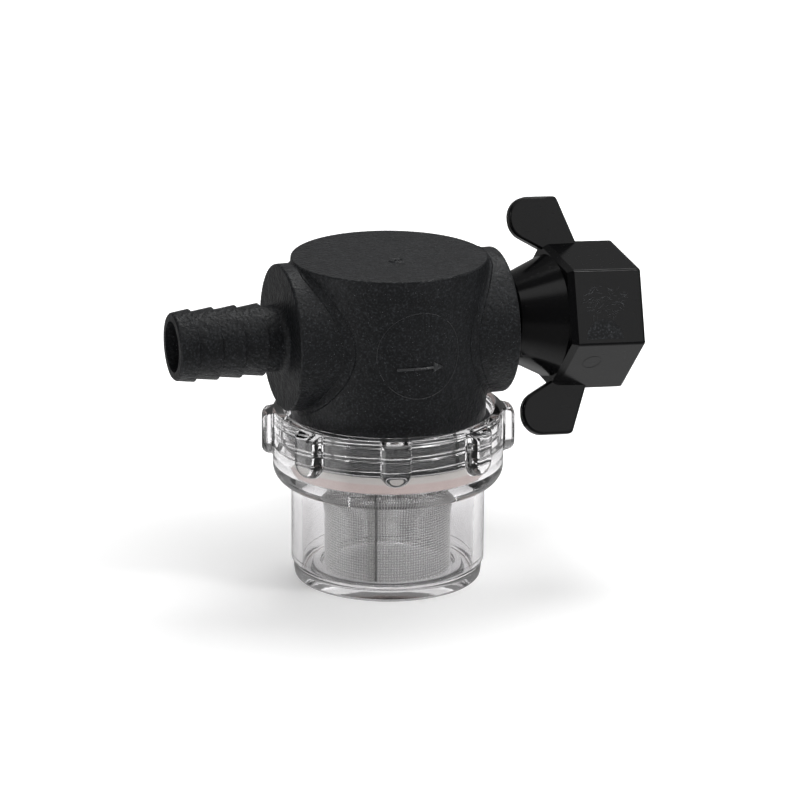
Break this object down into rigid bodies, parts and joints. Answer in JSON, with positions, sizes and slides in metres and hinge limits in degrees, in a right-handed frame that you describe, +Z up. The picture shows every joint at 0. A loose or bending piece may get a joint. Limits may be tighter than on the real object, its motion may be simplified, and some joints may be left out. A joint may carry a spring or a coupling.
{
  "type": "water strainer",
  "caption": "In-line twist-on water strainer: black moulded head with a hose barb and a winged swivel nut, over a clear screw-on bowl with a wire mesh screen.",
  "frame": {"origin": "centre of the bowl's flat foot", "axes": "+Z up along the bowl's axis, +X the way the water flows, from the hose barb to the nut"},
  "size_m": [0.0985, 0.0522, 0.0766],
  "materials": {
    "black_moulding": "finely textured black, smooth on the nut",
    "clear_moulding": "polished clear moulding",
    "wire_mesh": "bright woven wire",
    "gasket": "dull pink-brown",
    "washer": "dull black"
  },
  "bodies": {
    "head": {"head": "black_moulding", "tailpiece": "black_moulding"},
    "screen": {"screen": "wire_mesh"},
    "bowl": {"bowl": "clear_moulding", "bowl_gasket": "gasket"},
    "nut": {"swivel_nut": "black_moulding", "nut_washer": "washer"}
  },
  "joints": [
    {"name": "bowl_drop", "type": "slide", "parent": "head", "child": "screen", "axis": [0, 0, -1], "range_m": [0, 0.0076]},
    {"name": "bowl_turn", "type": "hinge", "parent": "screen", "child": "bowl", "pos_m": [0, 0, 0], "axis": [0, 0, -1], "range_deg": [0, 900]},
    {"name": "nut_spin", "type": "hinge", "parent": "head", "child": "nut", "pos_m": [0.0305, 0, 0.0532], "axis": [0.9961, 0.0539, -0.0698], "continuous": true}
  ],
  "couplings": [
    {"joint": "bowl_drop", "follows": "bowl_turn", "m_per_rad": 0.00047746}
  ]
}
